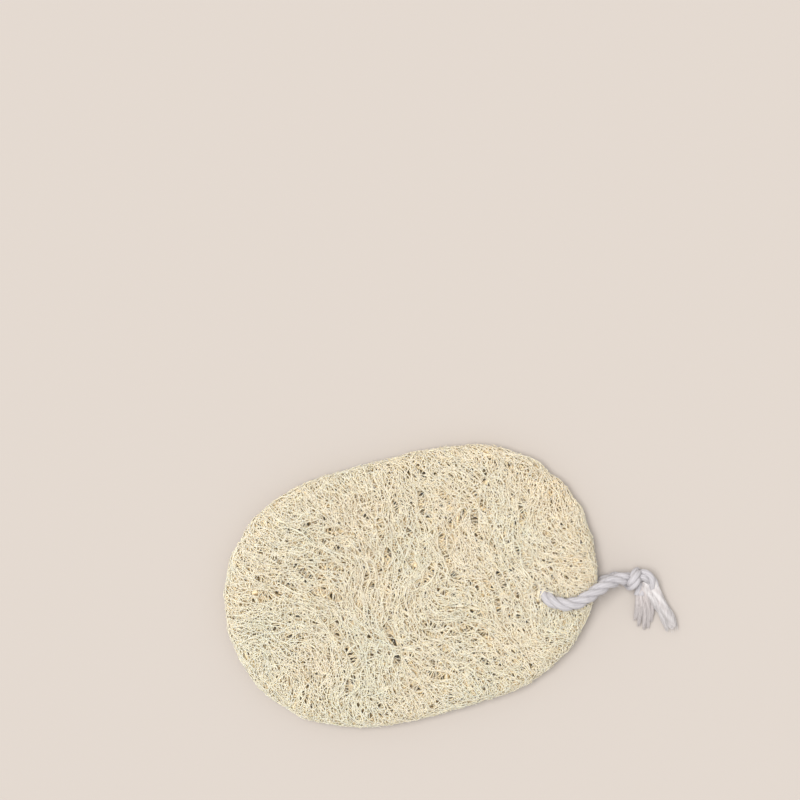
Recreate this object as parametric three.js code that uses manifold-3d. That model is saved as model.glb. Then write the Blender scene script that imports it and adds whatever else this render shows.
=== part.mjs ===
// Natural loofah sponge: a flat pad pressed from a dried loofah gourd, with a loop of
// twisted cotton cord. Millimetres, +Z up. The pad lies on z = 0 with the middle of its
// outline at the origin, its long axis along X, and the cord at its +X end.

import * as THREE from 'three';
import { mergeVertices } from 'three/addons/utils/BufferGeometryUtils.js';
import Module from 'manifold-3d';

const wasm = await Module();
wasm.setup();

// Pad: the outline's mean radius, and its waves as [turns, cosine part, sine part]
const OUTLINE_RADIUS = 59.8;
const OUTLINE_WAVES = [[1, 0, 0.4], [2, 10.9, 0], [3, 0, 0.4], [4, -0.55, 0], [6, -0.15, 0]];
const PAD_TOP = 10.6;
const PAD_CROWN = 1.4;
const RIM_HEIGHT = 4.8;
const EDGE_WIDTH = 9;
const EDGE_SHARE = 0.2;

// The raised net that covers the pad: strands stand round sunken cells, larger than life.
// Cells lie longer along the fibres, which swirl over the pad.
const NET_FREQUENCY = 8;
const CELL_DEPTH = 2.1;
const CELL_FLOOR = 0.6;
const CELL_STRETCH = 1.45;
const FIBRE_HEADING = 115;
const SWIRL = 0.34;
const JUNCTION_SHIFT = 0.036;
const JUNCTION_RISE = 0.4;
const NET_SEED = 41;

// The pad rests on three low junctions, with a cell pressed flat under its middle
const LOW_POINTS = [[44, 26], [-50, 14], [2, -37]];
const FLAT_CELL_HEIGHT = 0.02;
const UNDERSIDE_CLEARANCE = 0.15;

// Cord: 5 mm rope, squeezed thinner inside the knot
const CORD_RADIUS = 2.5;
const CORD_SIDES = 8;
const CORD_STEP = 4;
const KNOT_ROPE_RADIUS = 2.1;
const KNOT_STEP = 2.6;
const GAP = 0.3;

// The pad is pinched up over the run of cord that lies beneath it
const PINCH = { x: 58, y: -17.3, spread: 13, under: 5.9, above: 0.3 };

// Routes of the cord's middle line, chosen by hand
const UPPER_ROUTE = [
  [47.2, -13.9, 8.8], [47.2, -13.9, 10.2], [47.6, -14.6, 12.5], [48.7, -16.2, 14.2], [50.6, -17.8, 15.0],
  [53.4, -19.1, 15.1], [57.2, -19.7, 14.9], [61.0, -19.1, 14.3], [64.8, -17.9, 13.2],
  [68.4, -16.7, 11.8], [71.8, -15.8, 10.3], [73.4, -15.7, 9.6],
  [75.0, -15.7, 8.85],
];
const LOWER_ROUTE = [
  [47.2, -13.9, 8.4], [47.2, -13.9, 7.2], [47.8, -14.2, 5.0], [49.8, -15.3, 3.2], [52.6, -16.6, 2.6],
  [57.0, -17.7, 2.5], [62.0, -17.6, 2.5], [67.0, -16.6, 2.5], [71.0, -15.7, 2.5],
  [73.0, -15.6, 2.5], [74.6, -15.6, 2.5],
];
const KNOT_STRAIGHT_ROUTE = [
  [75.4, -15.7, 8.65], [77.0, -15.7, 7.9], [79.6, -17.1, 6.8], [82.0, -17.9, 6.4],
  [84.2, -17.0, 6.8], [85.9, -16.9, 7.0], [87.0, -19.4, 5.5], [87.9, -22.3, 3.9],
];
const KNOT_WRAP_ROUTE = [
  [75.0, -15.6, 2.5], [76.4, -15.6, 2.4], [78.7, -17.0, 2.2], [79.5, -20.2, 2.7], [79.6, -22.0, 5.8],
  [80.0, -20.7, 9.2], [80.9, -17.6, 10.6], [81.9, -14.9, 9.2], [82.6, -14.0, 6.0], [83.0, -15.4, 2.9],
  [83.1, -18.2, 2.2], [82.5, -21.2, 2.2], [81.8, -23.9, 2.3],
];

// Frayed ends: how many yarns, how thick, and where the bundle's middle goes
const LONG_END = {
  route: [[88.2, -23.1, 3.6], [88.8, -25.6, 2.9], [89.9, -29.2, 2.3], [91.0, -33.6, 1.9], [92.1, -38.8, 1.7]],
  yarns: 5, yarnRadius: 1.1, rootSpread: 1.0, tipSpread: 1.5, twist: 0.45, trim: 2.5,
};
const SHORT_END = {
  route: [[81.7, -24.4, 2.3], [81.1, -26.8, 2.1], [80.3, -29.4, 1.8], [79.8, -32.6, 1.6], [79.7, -36.0, 1.5]],
  yarns: 6, yarnRadius: 0.9, rootSpread: 1.0, tipSpread: 3.2, twist: 0.2, trim: 4,
};
const YARN_SIDES = 6;
const YARN_STEP = 3.4;
const YARN_POINTS = 7;
const FLOOR_GAP = 0.1;

const FIBRE = new THREE.MeshStandardMaterial({ color: 0xdacdb4, roughness: 0.85, metalness: 0 });
const COTTON = new THREE.MeshStandardMaterial({ color: 0xcec9cb, roughness: 0.9, metalness: 0 });

// A repeatable random number from 0 to 1
function seededRandom(seed) {
  let state = seed;
  return () => {
    state = (state * 1664525 + 1013904223) % 4294967296;
    return state / 4294967296;
  };
}

function toSolid(geometry) {
  const plain = geometry.clone();
  for (const name of ['normal', 'uv']) plain.deleteAttribute(name);
  const merged = mergeVertices(plain, 1e-4);
  return new wasm.Manifold(new wasm.Mesh({
    numProp: 3,
    vertProperties: merged.attributes.position.array,
    triVerts: new Uint32Array(merged.index.array),
  }));
}

function toGeometry(solid) {
  const mesh = solid.getMesh();
  const geometry = new THREE.BufferGeometry();
  geometry.setAttribute('position', new THREE.BufferAttribute(mesh.vertProperties, mesh.numProp));
  geometry.setIndex(new THREE.BufferAttribute(mesh.triVerts, 1));
  geometry.computeVertexNormals();
  return geometry;
}

function joinAll(solids) {
  return solids.reduce((joined, solid) => joined.add(solid));
}

function curveThrough(points) {
  return new THREE.CatmullRomCurve3(points.map((point) => new THREE.Vector3(...point)), false, 'centripetal');
}

// A round bar along a curve
function roundBar(curve, radius, sides, step) {
  const corners = Array.from({ length: sides }, (_, i) => {
    const angle = (2 * Math.PI * i) / sides;
    return new THREE.Vector2(radius * Math.cos(angle), radius * Math.sin(angle));
  });
  const steps = Math.round(curve.getLength() / step);
  return toSolid(new THREE.ExtrudeGeometry(new THREE.Shape(corners), { steps, extrudePath: curve }));
}

function outlineRadius(angle) {
  let radius = OUTLINE_RADIUS;
  for (const [turns, cosine, sine] of OUTLINE_WAVES) {
    radius += cosine * Math.cos(turns * angle) + sine * Math.sin(turns * angle);
  }
  return radius;
}

// Height of the pad's top (side 1) or underside (side -1) over a point
function padHeight(x, y, side) {
  const rim = outlineRadius(Math.atan2(y, x));
  const reach = Math.min(Math.hypot(x, y) / rim, 1);
  const inward = Math.min((rim * (1 - reach)) / EDGE_WIDTH, 1);
  const shoulder = Math.sqrt(inward * (2 - inward));
  const distance = Math.hypot(x - PINCH.x, y - PINCH.y) / PINCH.spread;
  const pinch = Math.exp(-0.5 * distance * distance);
  const rimHeight = RIM_HEIGHT + 0.5 * PINCH.under * pinch;
  const top = PAD_TOP + PAD_CROWN * (1 - reach * reach) + PINCH.under * PINCH.above * pinch;
  const underside = PINCH.under * pinch;
  return rimHeight + ((side > 0 ? top : underside) - rimHeight) * shoulder;
}

// A point of the pad's outer form for a direction on the unit sphere
function padPoint(direction) {
  const heading = Math.atan2(direction.y, direction.x);
  const rim = outlineRadius(heading);
  const share = Math.abs(Math.asin(direction.z)) / (Math.PI / 2);
  const edgeTurn = Math.min(share / EDGE_SHARE, 1) * (Math.PI / 2);
  const beyondEdge = Math.max(share - EDGE_SHARE, 0) / (1 - EDGE_SHARE);
  const inward = EDGE_WIDTH * (1 - Math.cos(edgeTurn)) + (rim - EDGE_WIDTH) * beyondEdge;
  const x = (rim - inward) * Math.cos(heading);
  const y = (rim - inward) * Math.sin(heading);
  return new THREE.Vector3(x, y, padHeight(x, y, Math.sign(direction.z) || 1));
}

// The directions of the net's junctions, and the ring of junctions round each cell
function netLayout() {
  const sphere = new THREE.IcosahedronGeometry(1, NET_FREQUENCY - 1);
  sphere.deleteAttribute('normal');
  sphere.deleteAttribute('uv');
  const { index, attributes } = mergeVertices(sphere, 1e-4);
  const corner = (i) => new THREE.Vector3().fromBufferAttribute(attributes.position, index.getX(i));
  const junctions = [];
  const next = Array.from({ length: attributes.position.count }, () => new Map());
  for (let face = 0; face < index.count / 3; face += 1) {
    junctions.push(corner(3 * face).add(corner(3 * face + 1)).add(corner(3 * face + 2)).normalize());
    for (let k = 0; k < 3; k += 1) {
      const centre = index.getX(3 * face + k);
      const after = index.getX(3 * face + ((k + 1) % 3));
      const before = index.getX(3 * face + ((k + 2) % 3));
      next[centre].set(after, { before, face });
    }
  }
  const cells = next.map((links) => {
    const ring = [];
    let from = links.keys().next().value;
    for (let i = 0; i < links.size; i += 1) {
      ring.push(links.get(from).face);
      from = links.get(from).before;
    }
    return ring;
  });
  return { junctions, cells };
}

// Draws the cells out along the fibres and swirls them over the pad
function followFibres(direction, random) {
  const heading = THREE.MathUtils.degToRad(FIBRE_HEADING);
  const axis = new THREE.Vector3(0, 0, 1);
  const shift = new THREE.Vector3(random() - 0.5, random() - 0.5, random() - 0.5);
  const moved = direction.clone().addScaledVector(shift, 2 * JUNCTION_SHIFT);
  moved.x *= CELL_STRETCH;
  moved.normalize();
  const swirl = SWIRL * Math.sin(3.1 * moved.x + 1.3) * Math.cos(2.3 * moved.y + 0.4) * Math.sign(moved.z);
  return moved.applyAxisAngle(axis, heading + swirl * Math.abs(moved.z));
}

// The pad as one closed skin: each cell slopes from its ring of strands to a sunken floor
function padNet() {
  const random = seededRandom(NET_SEED);
  const { junctions, cells } = netLayout();
  const crest = junctions.map((direction) => {
    const point = padPoint(followFibres(direction, random));
    const rise = JUNCTION_RISE * random();
    point.z += point.z > RIM_HEIGHT ? -rise : UNDERSIDE_CLEARANCE + rise;
    return point;
  });
  const middleOf = (ring) => {
    const middle = new THREE.Vector3();
    for (const i of ring) middle.addScaledVector(crest[i], 1 / ring.length);
    return middle;
  };
  const nearestBelow = (items, pointOf, x, y) => {
    const target = new THREE.Vector3(x, y, 0);
    const distances = items.map((item) => pointOf(item).distanceTo(target));
    return items[distances.indexOf(Math.min(...distances))];
  };
  const flatCell = nearestBelow(cells, middleOf, 0, 0);
  for (const i of flatCell) crest[i].z = FLAT_CELL_HEIGHT;
  for (const [x, y] of LOW_POINTS) nearestBelow(crest, (point) => point, x, y).z = 0;
  const points = crest.map((point) => point.toArray());
  const faces = [];
  for (const ring of cells) {
    const middle = middleOf(ring);
    const normal = new THREE.Vector3();
    ring.forEach((junction, k) => {
      const here = crest[junction].clone().sub(middle);
      normal.add(here.cross(crest[ring[(k + 1) % ring.length]].clone().sub(middle)));
    });
    normal.normalize();
    const depth = ring === flatCell ? 0 : CELL_DEPTH;
    const first = points.length;
    for (const junction of ring) {
      const inset = middle.clone().lerp(crest[junction], CELL_FLOOR).addScaledVector(normal, -depth);
      points.push(inset.toArray());
    }
    ring.forEach((junction, k) => {
      const after = (k + 1) % ring.length;
      faces.push([junction, ring[after], first + after], [junction, first + after, first + k]);
      if (k > 0 && after > 0) faces.push([first, first + k, first + after]);
    });
  }
  const geometry = new THREE.BufferGeometry();
  geometry.setAttribute('position', new THREE.Float32BufferAttribute(points.flat(), 3));
  geometry.setIndex(faces.flat());
  return toSolid(geometry);
}

function rope(route, radius, step) {
  return roundBar(curveThrough(route), radius, CORD_SIDES, step);
}

// A frayed end: yarns that start packed together and part towards their cut tips
function frayedEnd(end, yarnRadius) {
  const middle = curveThrough(end.route);
  const lowest = end.yarnRadius + FLOOR_GAP;
  const yarns = Array.from({ length: end.yarns }, (_, yarn) => {
    const place = (2 * Math.PI * yarn) / end.yarns;
    const cut = 1 - (end.trim * (yarn % 3)) / (2 * middle.getLength());
    const points = Array.from({ length: YARN_POINTS }, (__, i) => {
      const share = (cut * i) / (YARN_POINTS - 1);
      const point = middle.getPointAt(share);
      const tangent = middle.getTangentAt(share);
      const sideways = new THREE.Vector3(-tangent.y, tangent.x, 0).normalize();
      const turn = place + end.twist * 2 * Math.PI * share;
      const spread = THREE.MathUtils.lerp(end.rootSpread, end.tipSpread, share);
      point.addScaledVector(sideways, spread * Math.cos(turn));
      point.z = Math.max(point.z + end.rootSpread * (1 - 0.5 * share) * Math.sin(turn), lowest);
      return point.toArray();
    });
    return roundBar(curveThrough(points), yarnRadius, YARN_SIDES, YARN_STEP);
  });
  return joinAll(yarns);
}

const knotRopes = [KNOT_STRAIGHT_ROUTE, KNOT_WRAP_ROUTE];
const knot = joinAll(knotRopes.map((route) => rope(route, KNOT_ROPE_RADIUS, KNOT_STEP)));
const longEndRoom = frayedEnd(LONG_END, LONG_END.yarnRadius + GAP);
const upperRun = rope(UPPER_ROUTE, CORD_RADIUS, CORD_STEP);
const lowerRun = rope(LOWER_ROUTE, CORD_RADIUS, CORD_STEP);
const pad = padNet()
  .subtract(rope(UPPER_ROUTE, CORD_RADIUS + GAP, CORD_STEP))
  .subtract(rope(LOWER_ROUTE, CORD_RADIUS + GAP, CORD_STEP));

const model = new THREE.Group();
const addPiece = (name, solid, material) => {
  const mesh = new THREE.Mesh(toGeometry(solid), material);
  mesh.name = name;
  model.add(mesh);
};
addPiece('loofah_pad', pad, FIBRE);
addPiece('cord_upper_run', upperRun, COTTON);
addPiece('cord_lower_run', lowerRun, COTTON);
addPiece('cord_knot', knot, COTTON);
addPiece('cord_end_long', frayedEnd(LONG_END, LONG_END.yarnRadius), COTTON);
addPiece('cord_end_short', frayedEnd(SHORT_END, SHORT_END.yarnRadius).subtract(longEndRoom), COTTON);

export default model;
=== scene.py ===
import math
from collections import namedtuple

import bpy
import numpy as np
from mathutils.kdtree import KDTree
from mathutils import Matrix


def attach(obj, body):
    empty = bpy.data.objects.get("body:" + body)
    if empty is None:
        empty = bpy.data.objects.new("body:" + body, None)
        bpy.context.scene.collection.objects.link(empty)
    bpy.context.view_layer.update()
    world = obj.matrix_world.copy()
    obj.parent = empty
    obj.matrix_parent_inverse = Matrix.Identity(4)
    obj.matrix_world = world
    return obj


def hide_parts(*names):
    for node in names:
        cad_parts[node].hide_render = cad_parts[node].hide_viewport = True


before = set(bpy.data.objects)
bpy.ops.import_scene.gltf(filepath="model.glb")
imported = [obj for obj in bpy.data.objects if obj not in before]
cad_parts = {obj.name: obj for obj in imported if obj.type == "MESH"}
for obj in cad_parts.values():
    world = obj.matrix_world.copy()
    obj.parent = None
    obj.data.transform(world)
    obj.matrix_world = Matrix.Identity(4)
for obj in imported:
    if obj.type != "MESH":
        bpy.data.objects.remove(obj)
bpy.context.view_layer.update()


# The view: straight down on the sponge as it lies flat, turned so that the pad's long
# axis runs down to the left, through a long lens that keeps the outline true.
VIEW_TURN = math.radians(-14.1)
VIEW_WIDTH = 0.2977
VIEW_MIDDLE = (0.0130, 0.0686, 0.0060)
LENS_LENGTH = 100
LENS_FRAME = 36

lens = bpy.data.cameras.new("camera")
lens.lens = LENS_LENGTH
lens.sensor_width = LENS_FRAME
camera = bpy.data.objects.new("camera", lens)
camera.location = VIEW_MIDDLE
camera.location.z += VIEW_WIDTH * LENS_LENGTH / LENS_FRAME
camera.rotation_euler.z = VIEW_TURN
bpy.context.scene.collection.objects.link(camera)
bpy.context.scene.camera = camera


# The cord: one length of soft three-strand cotton rope, 5 mm thick, laid right-handed. It
# goes through a hole pierced near the pad's end, one run over the rim and the other under
# it, and both runs go into the knot, where the rope is squeezed thinner.
CORD_DIAMETER = 0.005
STRANDS = 3
STRAND_SIDES = 28
STRAND_FLATNESS = 1.12
LAY_LENGTH = 0.0155
YARNS_ROUND = 7
YARN_TURN = 1.3
YARN_GROOVE = 0.13
ROPE_STEP = 0.00045

# Shares of the rope's radius: how far out the strands' middles lie, and a strand's own radius
ROPE_HELIX = 0.495
STRAND_RADIUS = 0.505

UPPER_RUN = [
    (0.0472, -0.0139, 0.0088), (0.0472, -0.0139, 0.0102), (0.0476, -0.0146, 0.0125),
    (0.0487, -0.0162, 0.0142), (0.0506, -0.0178, 0.0150), (0.0534, -0.0191, 0.0151),
    (0.0572, -0.0197, 0.0149), (0.0610, -0.0191, 0.0143), (0.0648, -0.0179, 0.0132),
    (0.0684, -0.0167, 0.0118), (0.0718, -0.0158, 0.0103), (0.0734, -0.0157, 0.0096),
    (0.0750, -0.0157, 0.00885),
]
LOWER_RUN = [
    (0.0472, -0.0139, 0.0084), (0.0472, -0.0139, 0.0072), (0.0478, -0.0142, 0.0050),
    (0.0498, -0.0153, 0.0032), (0.0526, -0.0166, 0.0026), (0.0570, -0.0177, 0.0025),
    (0.0620, -0.0176, 0.0025), (0.0670, -0.0166, 0.0025), (0.0710, -0.0157, 0.0025),
    (0.0730, -0.0156, 0.0025), (0.0746, -0.0156, 0.0025),
]

# In the knot, the last number of each place is the rope's radius there
KNOT_STRAIGHT = [
    (0.0754, -0.0157, 0.0086, 0.00250), (0.0772, -0.0159, 0.0077, 0.00245),
    (0.0791, -0.0162, 0.0062, 0.00215), (0.0813, -0.0167, 0.0050, 0.00160),
    (0.0831, -0.0169, 0.0054, 0.00200), (0.0849, -0.0167, 0.0061, 0.00240),
    (0.0868, -0.0181, 0.0057, 0.00235), (0.0875, -0.0200, 0.0049, 0.00220),
    (0.0879, -0.0219, 0.0040, 0.00210),
]
KNOT_WRAP = [
    (0.0750, -0.0156, 0.0025, 0.00245), (0.0769, -0.0162, 0.0024, 0.00220),
    (0.0783, -0.0178, 0.0023, 0.00200), (0.0788, -0.0192, 0.0032, 0.00170),
    (0.0792, -0.0197, 0.0054, 0.00170), (0.0800, -0.0187, 0.0077, 0.00220),
    (0.0811, -0.0172, 0.0087, 0.00240), (0.0822, -0.0157, 0.0077, 0.00220),
    (0.0830, -0.0149, 0.0054, 0.00170), (0.0832, -0.0153, 0.0033, 0.00170),
    (0.0832, -0.0170, 0.0022, 0.00190), (0.0830, -0.0193, 0.0022, 0.00200),
    (0.0827, -0.0216, 0.0022, 0.00210), (0.0820, -0.0240, 0.0023, 0.00210),
]


def unit(vectors):
    """Vectors of length one that point the same ways."""
    return vectors / np.linalg.norm(vectors, axis=-1, keepdims=True)


def lengths_along(line):
    """How far along a line each of its points is."""
    steps = np.linalg.norm(np.diff(line[:, :3], axis=0), axis=1)
    return np.concatenate([[0], np.cumsum(steps)])


SPAN_POINTS = 40


def curve_through(points, step):
    """Evenly spaced points of the smooth curve that goes through the given ones."""
    given = np.array(points)
    given = np.vstack([2 * given[0] - given[1], given, 2 * given[-1] - given[-2]])
    share = np.linspace(0, 1, SPAN_POINTS, endpoint=False)[:, None]
    pieces = []
    for a, b, c, d in zip(given, given[1:], given[2:], given[3:]):
        before, here, after = (math.sqrt(math.dist(p[:3], q[:3])) for p, q in ((a, b), (b, c), (c, d)))
        leave = (b - a) / before - (c - a) / (before + here) + (c - b) / here
        arrive = (c - b) / here - (d - b) / (here + after) + (d - c) / after
        pieces.append(
            (2 * share**3 - 3 * share**2 + 1) * b + (share**3 - 2 * share**2 + share) * here * leave
            + (3 * share**2 - 2 * share**3) * c + (share**3 - share**2) * here * arrive
        )
    fine = np.vstack([*pieces, given[-2]])
    along = lengths_along(fine)
    even = np.linspace(0, along[-1], round(along[-1] / step) + 1)
    return np.column_stack([np.interp(even, along, column) for column in fine.T])


# Any direction that no line starts in
FIRST_SIDE = (0.3, 1, 0.2)


def frames_along(line):
    """The direction of a line at each point, and two directions square to it that don't spin."""
    ahead = unit(np.gradient(line, axis=0))
    side = unit(np.cross(ahead[0], FIRST_SIDE))
    sides = []
    for direction in ahead:
        side = unit(side - direction * (side @ direction))
        sides.append(side)
    return ahead, np.array(sides), np.cross(ahead, sides)


def new_piece(name, mesh, material):
    """An object of the sponge that carries a finished mesh in its final place."""
    piece = bpy.data.objects.new(name, mesh)
    bpy.context.scene.collection.objects.link(piece)
    mesh.materials.clear()
    mesh.materials.append(material)
    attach(piece, "root")
    return piece


SHARP_ANGLE = math.radians(70)
HUB_CRESTS = (1, 1)


def tubes_mesh(name, tubes, crests):
    """Closed tubes, each an array of rings of points, as one smooth mesh. A point's crest says
    how far out on its yarn it lies, and each tube ends on the hubs that close it."""
    points, faces, first = [], [], 0
    for tube in tubes:
        rings, sides, _ = tube.shape
        ring = first + sides * np.arange(rings - 1)[:, None]
        here, after = np.arange(sides), (np.arange(sides) + 1) % sides
        quads = np.stack([ring + here, ring + after, ring + sides + after, ring + sides + here], axis=-1)
        faces += quads.reshape(-1, 4).tolist()
        last = first + sides * (rings - 1)
        hub = first + rings * sides
        faces += [(hub, first + b, first + a) for a, b in zip(here, after)]
        faces += [(hub + 1, last + a, last + b) for a, b in zip(here, after)]
        points += [tube.reshape(-1, 3), tube[0].mean(axis=0)[None], tube[-1].mean(axis=0)[None]]
        first = hub + 2
    mesh = bpy.data.meshes.new(name)
    mesh.from_pydata(np.concatenate(points).tolist(), [], faces)
    mesh.shade_smooth()
    mesh.set_sharp_from_angle(angle=SHARP_ANGLE)
    values = np.concatenate([part for crest in crests for part in (crest.ravel(), HUB_CRESTS)])
    # The crest sets how much painted shade the cotton's materials put on each point, most where it is
    # low
    attribute = mesh.attributes.new("crest", "FLOAT", "POINT")
    attribute.data.foreach_set("value", values.astype(np.float32))
    return mesh


def rope_strands(line, radius, start, stop):
    """The strands of a rope along part of a line: the rings of points of each, and the
    points' crests."""
    _, side, up = frames_along(line)
    along = lengths_along(line)
    part = slice(start, stop)
    tubes, crests = [], []
    for strand in range(STRANDS):
        turn = 2 * math.pi * (strand / STRANDS + along / LAY_LENGTH)[:, None]
        out = np.cos(turn) * side + np.sin(turn) * up
        across = np.cos(turn) * up - np.sin(turn) * side
        centre = line + radius[:, None] * ROPE_HELIX * out
        round_strand = np.linspace(0, 2 * math.pi, STRAND_SIDES, endpoint=False)
        yarn = round_strand[None, :] + YARN_TURN * 2 * math.pi * along[:, None] / LAY_LENGTH
        # Low crests lie in the grooves between the yarns, where the cotton's material paints shade
        crest = np.abs(np.cos(0.5 * YARNS_ROUND * yarn))
        reach = radius[:, None] * STRAND_RADIUS * (1 - YARN_GROOVE * (1 - crest) ** 2)
        ring = centre[:, None] + reach[..., None] * (
            np.cos(round_strand)[None, :, None] * out[:, None]
            + STRAND_FLATNESS * np.sin(round_strand)[None, :, None] * across[:, None]
        )
        tubes.append(ring[part])
        crests.append(crest[part])
    return tubes, crests


# Soft undyed cotton: dull, off-white with a cool cast, painted darker between the yarns as shade
COTTON_LIGHT = (0.52, 0.50, 0.515, 1)
COTTON_GROOVE_SHADE = (0.34, 0.32, 0.335, 1)
FRAYED_LIGHT = (0.66, 0.63, 0.625, 1)
FRAYED_GROOVE_SHADE = (0.40, 0.34, 0.32, 1)
COTTON_ROUGHNESS = 0.9
COTTON_SPECULAR = 0.2
COTTON_SHEEN = 0.15
LINT_GRAIN = 1900
LINT_DETAIL = 3
LINT_MOTTLE = 0.5
LINT_RELIEF = 0.55
LINT_RELIEF_DEPTH = 0.0003


def new_material(name, base, roughness):
    """A material with one plain surface, and that surface's node."""
    material = bpy.data.materials.new(name)
    material.use_nodes = True
    surface = material.node_tree.nodes["Principled BSDF"]
    surface.inputs["Base Color"].default_value = base
    surface.inputs["Roughness"].default_value = roughness
    return material, surface


def new_mix(nodes):
    """A new node that mixes two colours: its factor, first, second and result sockets."""
    mix = nodes.new("ShaderNodeMix")
    mix.data_type = "RGBA"
    return mix.inputs[0], mix.inputs[6], mix.inputs[7], mix.outputs[2]


def new_mottle(nodes, weight):
    """A new node that adds a weighted grain to a value: its grain, value and result sockets."""
    mottle = nodes.new("ShaderNodeMath")
    mottle.operation = "MULTIPLY_ADD"
    mottle.inputs[1].default_value = weight
    return mottle.inputs[0], mottle.inputs[2], mottle.outputs[0]


def new_attribute(nodes, name):
    """The value that an attribute of the mesh gives to each point."""
    attribute = nodes.new("ShaderNodeAttribute")
    attribute.attribute_name = name
    return attribute.outputs["Fac"]


def join_sockets(tree, pairs):
    """Links the first socket of each pair to the second."""
    for source, target in pairs:
        tree.links.new(source, target)


def yarn_lint():
    """A yarn's colour and normal: painted shade where the crest is low, between the yarns, with fine
    lint all over.
    """
    group = bpy.data.node_groups.new("yarn_lint", "ShaderNodeTree")
    for name, way, kind in (
        ("Light", "INPUT", "NodeSocketColor"),
        ("Shade", "INPUT", "NodeSocketColor"),
        ("Colour", "OUTPUT", "NodeSocketColor"),
        ("Normal", "OUTPUT", "NodeSocketVector"),
    ):
        group.interface.new_socket(name, in_out=way, socket_type=kind)
    given = group.nodes.new("NodeGroupInput")
    result = group.nodes.new("NodeGroupOutput")
    place = group.nodes.new("ShaderNodeTexCoord")
    lint = group.nodes.new("ShaderNodeTexNoise")
    lint.inputs["Scale"].default_value = LINT_GRAIN
    lint.inputs["Detail"].default_value = LINT_DETAIL
    grain, crest, lightness = new_mottle(group.nodes, LINT_MOTTLE)
    # The crest mixes the cotton's light colour with its painted groove shade
    factor, deep, light, colour = new_mix(group.nodes)
    raised = group.nodes.new("ShaderNodeBump")
    raised.inputs["Strength"].default_value = LINT_RELIEF
    raised.inputs["Distance"].default_value = LINT_RELIEF_DEPTH
    join_sockets(group, (
        (place.outputs["Object"], lint.inputs["Vector"]),
        (lint.outputs["Fac"], grain),
        (new_attribute(group.nodes, "crest"), crest),
        (lightness, factor),
        (given.outputs["Shade"], deep),
        (given.outputs["Light"], light),
        (lint.outputs["Fac"], raised.inputs["Height"]),
        (colour, result.inputs["Colour"]),
        (raised.outputs["Normal"], result.inputs["Normal"]),
    ))
    return group


yarn_group = yarn_lint()


def cotton_material(name, light, deep):
    """Matte cotton in its own light colour, with painted shade between the yarns."""
    material, surface = new_material(name, light, COTTON_ROUGHNESS)
    surface.inputs["Sheen Weight"].default_value = COTTON_SHEEN
    surface.inputs["Specular IOR Level"].default_value = COTTON_SPECULAR
    yarn = material.node_tree.nodes.new("ShaderNodeGroup")
    yarn.node_tree = yarn_group
    yarn.inputs["Light"].default_value = light
    yarn.inputs["Shade"].default_value = deep
    join_sockets(material.node_tree, (
        (yarn.outputs["Colour"], surface.inputs["Base Color"]),
        (yarn.outputs["Normal"], surface.inputs["Normal"]),
    ))
    return material


cotton = cotton_material("cotton_yarn", COTTON_LIGHT, COTTON_GROOVE_SHADE)
frayed = cotton_material("cotton_frayed", FRAYED_LIGHT, FRAYED_GROOVE_SHADE)

run_lines = {}
for run_name, run, knot_name, knot in (
    ("upper", UPPER_RUN, "straight", KNOT_STRAIGHT),
    ("lower", LOWER_RUN, "wrap", KNOT_WRAP),
):
    run_line = curve_through(run, ROPE_STEP)
    knot_line = curve_through(knot, ROPE_STEP)
    line = np.vstack([run_line, knot_line[:, :3]])
    meet = len(run_line)
    radius = np.concatenate([np.full(meet, 0.5 * CORD_DIAMETER), knot_line[:, 3]])
    for part_name, start, stop in (
        (f"cord_rope_{run_name}", 0, meet + 1),
        (f"cord_knot_{knot_name}", meet, len(line)),
    ):
        tubes, crests = rope_strands(line, radius, start, stop)
        mesh = tubes_mesh(part_name, tubes, crests)
        new_piece(part_name, mesh, cotton)
    run_lines[run_name] = run_line

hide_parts("cord_upper_run")
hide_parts("cord_lower_run")
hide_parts("cord_knot")
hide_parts("cord_knot")


# The lint: short hairs of cotton that stand out of the yarns along both runs of the cord.
# They are the ends of the spun fibres, worked loose by handling, thin and round.
LINT_PER_LENGTH = 12000
LINT_LENGTH = (0.0006, 0.0016)
LINT_THICKNESS = 0.00003
LINT_POINTS = 5
LINT_ROOT = 0.94
LINT_OUTWARDS = 0.5
LINT_ONWARDS = 0.6
LINT_STRAY = 0.8
LINT_BEND = 0.5
LINT_SEED = 7


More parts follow.
